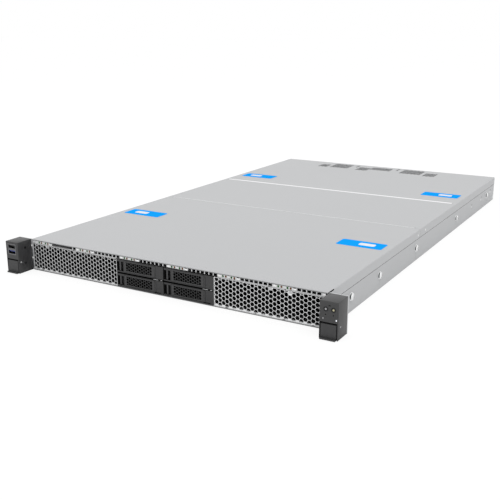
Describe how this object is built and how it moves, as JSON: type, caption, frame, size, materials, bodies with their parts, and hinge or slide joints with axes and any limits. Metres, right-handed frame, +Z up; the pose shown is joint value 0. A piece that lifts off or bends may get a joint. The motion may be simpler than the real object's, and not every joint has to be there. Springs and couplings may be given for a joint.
{
  "type": "1u rack server",
  "caption": "Rack server one unit high: perforated front with hot-swap drive carriers, control ears, lift-off covers, fans, boards and slide-in power supplies.",
  "frame": {"origin": "middle of the bottom edge of the chassis front face, on the underside", "axes": "+X to the right seen from the front, +Y from the front face to the rear, +Z up"},
  "size_m": [0.4826, 0.8185, 0.0434],
  "materials": {
    "sheet_metal": "matte light grey sheet steel",
    "light_pipe": "frosted clear plastic",
    "dark_plastic": "fine-grained dark grey plastic",
    "carrier_plastic": "fine-grained dark grey plastic",
    "button_plastic": "smooth grey plastic",
    "bright_steel": "bright plated steel",
    "circuit_board": "green solder mask",
    "fan_plastic": "black plastic",
    "heat_sink": "bare aluminium fins",
    "connector_plastic": "black connector plastic",
    "drive_case": "bead-blasted aluminium",
    "supply_case": "plated sheet metal",
    "handle_plastic": "black plastic",
    "latch_plastic": "green plastic"
  },
  "bodies": {
    "chassis": {"chassis_pan": "sheet_metal", "rear_panel": "sheet_metal", "cross_brace": "sheet_metal", "drive_cage": "sheet_metal", "front_blanks_left": "sheet_metal", "front_blanks_right": "sheet_metal", "vent_strip": "sheet_metal", "light_pipes": "light_pipe", "ear_housing_left": "dark_plastic", "ear_housing_right": "dark_plastic", "ear_brackets": "bright_steel", "ear_screws": "bright_steel", "ear_pins": "bright_steel", "front_usb_ports": "bright_steel", "rail_studs": "bright_steel", "drive_backplane": "circuit_board", "fan_frames": "fan_plastic", "main_board": "circuit_board", "cpu_heatsinks": "heat_sink", "memory_slots": "connector_plastic", "memory_modules": "circuit_board", "slot_covers": "sheet_metal", "rear_ports": "connector_plastic"},
    "front_cover": {"front_cover": "sheet_metal"},
    "rear_cover": {"rear_cover": "sheet_metal"},
    "info_tag": {"info_tag": "dark_plastic"},
    "ear_lever_left": {"ear_lever_left": "dark_plastic"},
    "ear_lever_right": {"ear_lever_right": "dark_plastic"},
    "power_button": {"power_button": "button_plastic"},
    "id_button": {"id_button": "button_plastic"},
    "carrier_1": {"carrier_1": "carrier_plastic", "drive_1": "drive_case"},
    "carrier_lever_1": {"carrier_lever_1": "carrier_plastic"},
    "release_bar_1": {"release_bar_1": "carrier_plastic"},
    "carrier_2": {"carrier_2": "carrier_plastic", "drive_2": "drive_case"},
    "carrier_lever_2": {"carrier_lever_2": "carrier_plastic"},
    "release_bar_2": {"release_bar_2": "carrier_plastic"},
    "carrier_3": {"carrier_3": "carrier_plastic", "drive_3": "drive_case"},
    "carrier_lever_3": {"carrier_lever_3": "carrier_plastic"},
    "release_bar_3": {"release_bar_3": "carrier_plastic"},
    "carrier_4": {"carrier_4": "carrier_plastic", "drive_4": "drive_case"},
    "carrier_lever_4": {"carrier_lever_4": "carrier_plastic"},
    "release_bar_4": {"release_bar_4": "carrier_plastic"},
    "fan_rotor_1": {"fan_rotor_1": "fan_plastic"},
    "fan_rotor_2": {"fan_rotor_2": "fan_plastic"},
    "fan_rotor_3": {"fan_rotor_3": "fan_plastic"},
    "fan_rotor_4": {"fan_rotor_4": "fan_plastic"},
    "fan_rotor_5": {"fan_rotor_5": "fan_plastic"},
    "fan_rotor_6": {"fan_rotor_6": "fan_plastic"},
    "power_supply_1": {"psu_case_1": "supply_case", "psu_handle_1": "handle_plastic"},
    "psu_latch_1": {"psu_latch_1": "latch_plastic"},
    "psu_fan_1": {"psu_fan_1": "fan_plastic"},
    "power_supply_2": {"psu_case_2": "supply_case", "psu_handle_2": "handle_plastic"},
    "psu_latch_2": {"psu_latch_2": "latch_plastic"},
    "psu_fan_2": {"psu_fan_2": "fan_plastic"}
  },
  "joints": [
    {"name": "front_cover_lift", "type": "slide", "parent": "chassis", "child": "front_cover", "axis": [0, 0, 1], "range_m": [0, 0.12]},
    {"name": "rear_cover_lift", "type": "slide", "parent": "chassis", "child": "rear_cover", "axis": [0, 0, 1], "range_m": [0, 0.12]},
    {"name": "info_tag_pull", "type": "slide", "parent": "chassis", "child": "info_tag", "axis": [0, -1, 0], "range_m": [0, 0.045]},
    {"name": "ear_lever_left_pull", "type": "hinge", "parent": "chassis", "child": "ear_lever_left", "pos_m": [-0.2304, -0.0175, 0.0141], "axis": [-1, 0, 0], "range_deg": [0, 15], "stiffness_Nm_per_rad": 0.05},
    {"name": "ear_lever_right_pull", "type": "hinge", "parent": "chassis", "child": "ear_lever_right", "pos_m": [0.2304, -0.0175, 0.0141], "axis": [-1, 0, 0], "range_deg": [0, 15], "stiffness_Nm_per_rad": 0.05},
    {"name": "power_button_push", "type": "slide", "parent": "chassis", "child": "power_button", "axis": [0, 1, 0], "range_m": [0, 0.0012], "stiffness_N_per_m": 400},
    {"name": "id_button_push", "type": "slide", "parent": "chassis", "child": "id_button", "axis": [0, 1, 0], "range_m": [0, 0.0012], "stiffness_N_per_m": 400},
    {"name": "carrier_1_slide", "type": "slide", "parent": "chassis", "child": "carrier_1", "axis": [0, -1, 0], "range_m": [0, 0.12]},
    {"name": "carrier_lever_1_swing", "type": "hinge", "parent": "carrier_1", "child": "carrier_lever_1", "pos_m": [-0.01324, 0.0015, 0.0287], "axis": [0, 0, 1], "range_deg": [0, 60]},
    {"name": "release_bar_1_push", "type": "slide", "parent": "carrier_1", "child": "release_bar_1", "axis": [1, 0, 0], "range_m": [0, 0.0018], "stiffness_N_per_m": 300},
    {"name": "carrier_2_slide", "type": "slide", "parent": "chassis", "child": "carrier_2", "axis": [0, -1, 0], "range_m": [0, 0.12]},
    {"name": "carrier_lever_2_swing", "type": "hinge", "parent": "carrier_2", "child": "carrier_lever_2", "pos_m": [0.0592, 0.0015, 0.0287], "axis": [0, 0, 1], "range_deg": [0, 60]},
    {"name": "release_bar_2_push", "type": "slide", "parent": "carrier_2", "child": "release_bar_2", "axis": [1, 0, 0], "range_m": [0, 0.0018], "stiffness_N_per_m": 300},
    {"name": "carrier_3_slide", "type": "slide", "parent": "chassis", "child": "carrier_3", "axis": [0, -1, 0], "range_m": [0, 0.12]},
    {"name": "carrier_lever_3_swing", "type": "hinge", "parent": "carrier_3", "child": "carrier_lever_3", "pos_m": [-0.01324, 0.0015, 0.0102], "axis": [0, 0, 1], "range_deg": [0, 60]},
    {"name": "release_bar_3_push", "type": "slide", "parent": "carrier_3", "child": "release_bar_3", "axis": [1, 0, 0], "range_m": [0, 0.0018], "stiffness_N_per_m": 300},
    {"name": "carrier_4_slide", "type": "slide", "parent": "chassis", "child": "carrier_4", "axis": [0, -1, 0], "range_m": [0, 0.12]},
    {"name": "carrier_lever_4_swing", "type": "hinge", "parent": "carrier_4", "child": "carrier_lever_4", "pos_m": [0.0592, 0.0015, 0.0102], "axis": [0, 0, 1], "range_deg": [0, 60]},
    {"name": "release_bar_4_push", "type": "slide", "parent": "carrier_4", "child": "release_bar_4", "axis": [1, 0, 0], "range_m": [0, 0.0018], "stiffness_N_per_m": 300},
    {"name": "fan_rotor_1_spin", "type": "hinge", "parent": "chassis", "child": "fan_rotor_1", "pos_m": [-0.17, 0.236, 0.0212], "axis": [0, 1, 0], "continuous": true},
    {"name": "fan_rotor_2_spin", "type": "hinge", "parent": "chassis", "child": "fan_rotor_2", "pos_m": [-0.102, 0.236, 0.0212], "axis": [0, 1, 0], "continuous": true},
    {"name": "fan_rotor_3_spin", "type": "hinge", "parent": "chassis", "child": "fan_rotor_3", "pos_m": [-0.034, 0.236, 0.0212], "axis": [0, 1, 0], "continuous": true},
    {"name": "fan_rotor_4_spin", "type": "hinge", "parent": "chassis", "child": "fan_rotor_4", "pos_m": [0.034, 0.236, 0.0212], "axis": [0, 1, 0], "continuous": true},
    {"name": "fan_rotor_5_spin", "type": "hinge", "parent": "chassis", "child": "fan_rotor_5", "pos_m": [0.102, 0.236, 0.0212], "axis": [0, 1, 0], "continuous": true},
    {"name": "fan_rotor_6_spin", "type": "hinge", "parent": "chassis", "child": "fan_rotor_6", "pos_m": [0.17, 0.236, 0.0212], "axis": [0, 1, 0], "continuous": true},
    {"name": "psu_1_slide", "type": "slide", "parent": "chassis", "child": "power_supply_1", "axis": [0, 1, 0], "range_m": [0, 0.18]},
    {"name": "psu_latch_1_press", "type": "hinge", "parent": "power_supply_1", "child": "psu_latch_1", "pos_m": [-0.20955, 0.7694, 0.021], "axis": [0, 0, -1], "range_deg": [0, 8], "stiffness_Nm_per_rad": 0.05},
    {"name": "psu_fan_1_spin", "type": "hinge", "parent": "power_supply_1", "child": "psu_fan_1", "pos_m": [-0.16075, 0.759, 0.0207], "axis": [0, 1, 0], "continuous": true},
    {"name": "psu_2_slide", "type": "slide", "parent": "chassis", "child": "power_supply_2", "axis": [0, 1, 0], "range_m": [0, 0.18]},
    {"name": "psu_latch_2_press", "type": "hinge", "parent": "power_supply_2", "child": "psu_latch_2", "pos_m": [0.14195, 0.7694, 0.021], "axis": [0, 0, -1], "range_deg": [0, 8], "stiffness_Nm_per_rad": 0.05},
    {"name": "psu_fan_2_spin", "type": "hinge", "parent": "power_supply_2", "child": "psu_fan_2", "pos_m": [0.19075, 0.759, 0.0207], "axis": [0, 1, 0], "continuous": true}
  ]
}
